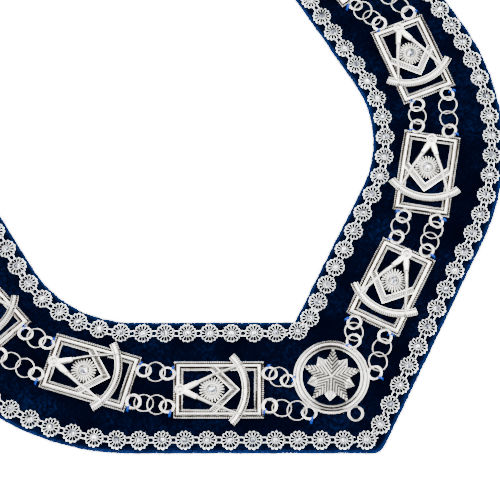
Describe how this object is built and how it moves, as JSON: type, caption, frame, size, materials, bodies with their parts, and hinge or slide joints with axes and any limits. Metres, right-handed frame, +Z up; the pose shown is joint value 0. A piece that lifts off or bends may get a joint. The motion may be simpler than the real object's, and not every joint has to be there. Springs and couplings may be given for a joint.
{
  "type": "chain collar",
  "caption": "Velvet chain collar with rosette strings along both edges and a chain of pierced plates, jump rings and a star medallion at the point of the V",
  "frame": {"origin": "On the surface the collar lies on, under the middle of its bounding box, inside the neck opening", "axes": "+Z up out of the face of the collar, +Y from the point of the V toward the nape, +X toward the right-hand arm as seen from above"},
  "size_m": [0.4282, 0.5048, 0.0069],
  "materials": {
    "velvet": "matte",
    "silver": "polished",
    "rosette_silver": "polished",
    "crystal": "polished",
    "thread": "matte"
  },
  "bodies": {
    "root": {"inner_rosette_string": "rosette_silver", "medallion": "silver", "outer_rosette_string": "rosette_silver", "plate_left_1": "silver", "plate_left_2": "silver", "plate_left_3": "silver", "plate_left_4": "silver", "plate_left_5": "silver", "plate_left_6": "silver", "plate_nape": "silver", "plate_right_1": "silver", "plate_right_2": "silver", "plate_right_3": "silver", "plate_right_4": "silver", "plate_right_5": "silver", "plate_right_6": "silver", "ring_left_1_inner_1": "silver", "ring_left_1_outer_1": "silver", "ring_left_1_outer_2": "silver", "ring_left_2_inner_1": "silver", "ring_left_2_outer_1": "silver", "ring_left_2_outer_2": "silver", "ring_left_3_inner_1": "silver", "ring_left_3_outer_1": "silver", "ring_left_3_outer_2": "silver", "ring_left_4_inner_1": "silver", "ring_left_4_inner_2": "silver", "ring_left_4_outer_1": "silver", "ring_left_4_outer_2": "silver", "ring_left_5_inner_1": "silver", "ring_left_5_outer_1": "silver", "ring_left_5_outer_2": "silver", "ring_left_6_inner_1": "silver", "ring_left_6_outer_1": "silver", "ring_left_6_outer_2": "silver", "ring_left_7_inner_1": "silver", "ring_left_7_outer_1": "silver", "ring_right_1_inner_1": "silver", "ring_right_1_outer_1": "silver", "ring_right_1_outer_2": "silver", "ring_right_2_inner_1": "silver", "ring_right_2_outer_1": "silver", "ring_right_2_outer_2": "silver", "ring_right_3_inner_1": "silver", "ring_right_3_outer_1": "silver", "ring_right_3_outer_2": "silver", "ring_right_4_inner_1": "silver", "ring_right_4_inner_2": "silver", "ring_right_4_outer_1": "silver", "ring_right_4_outer_2": "silver", "ring_right_5_inner_1": "silver", "ring_right_5_outer_1": "silver", "ring_right_5_outer_2": "silver", "ring_right_6_inner_1": "silver", "ring_right_6_outer_1": "silver", "ring_right_6_outer_2": "silver", "ring_right_7_inner_1": "silver", "ring_right_7_outer_1": "silver", "velvet_band": "velvet"}
  },
  "joints": []
}
